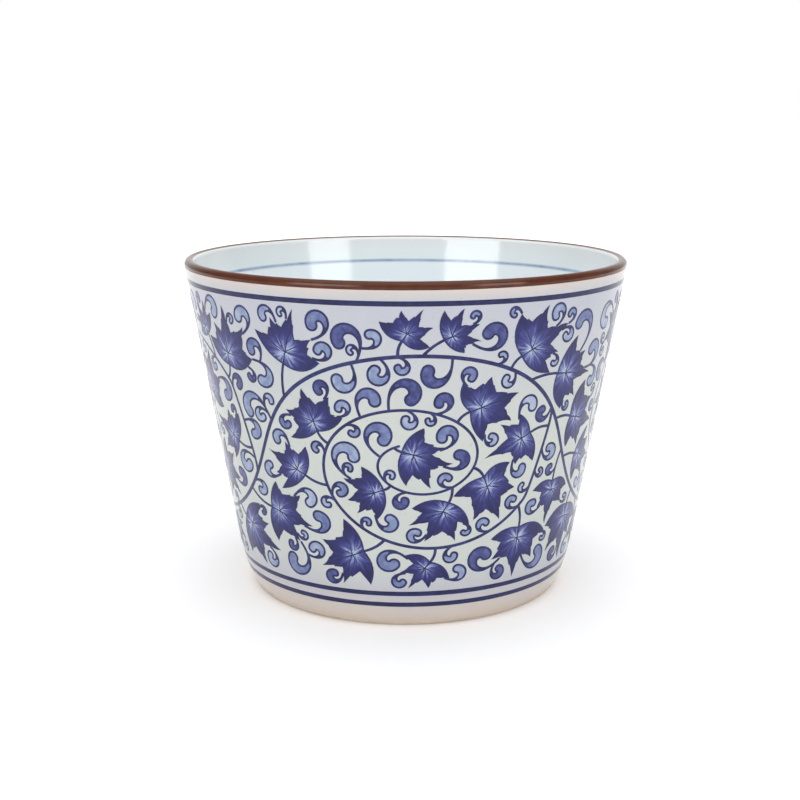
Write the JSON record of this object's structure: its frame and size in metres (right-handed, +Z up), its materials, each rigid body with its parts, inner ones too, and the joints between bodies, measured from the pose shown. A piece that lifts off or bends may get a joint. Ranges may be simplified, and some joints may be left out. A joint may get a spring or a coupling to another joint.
{
  "type": "teacup",
  "caption": "Handleless round porcelain teacup: straight flaring wall, rounded foot, brown lip, blue vine pattern between blue border lines.",
  "frame": {"origin": "centre of the foot ring's standing face, which is the lowest face of the cup", "axes": "+Z up along the axis that the cup is turned about; -Y is the side that faces the viewer"},
  "size_m": [0.083, 0.083, 0.063],
  "materials": {
    "clay": "bare fired porcelain clay, matt, shows only at the foot's edge",
    "white_glaze": "clear glaze over white clay, glossy",
    "iron_glaze": "iron-brown glaze, glossy",
    "cobalt": "dark cobalt underglaze line, glossy",
    "pale_cobalt": "thin grey-blue underglaze line, glossy",
    "vine_cobalt": "cobalt underglaze print, glossy"
  },
  "bodies": {
    "root": {"porcelain_body": "clay", "outer_glaze": "white_glaze", "inner_glaze": "white_glaze", "foot_glaze": "white_glaze", "rim_glaze": "iron_glaze", "upper_border_line": "cobalt", "lower_border_line_upper": "cobalt", "lower_border_line_lower": "cobalt", "inner_border_line": "pale_cobalt", "vine_print": "vine_cobalt"}
  },
  "joints": []
}
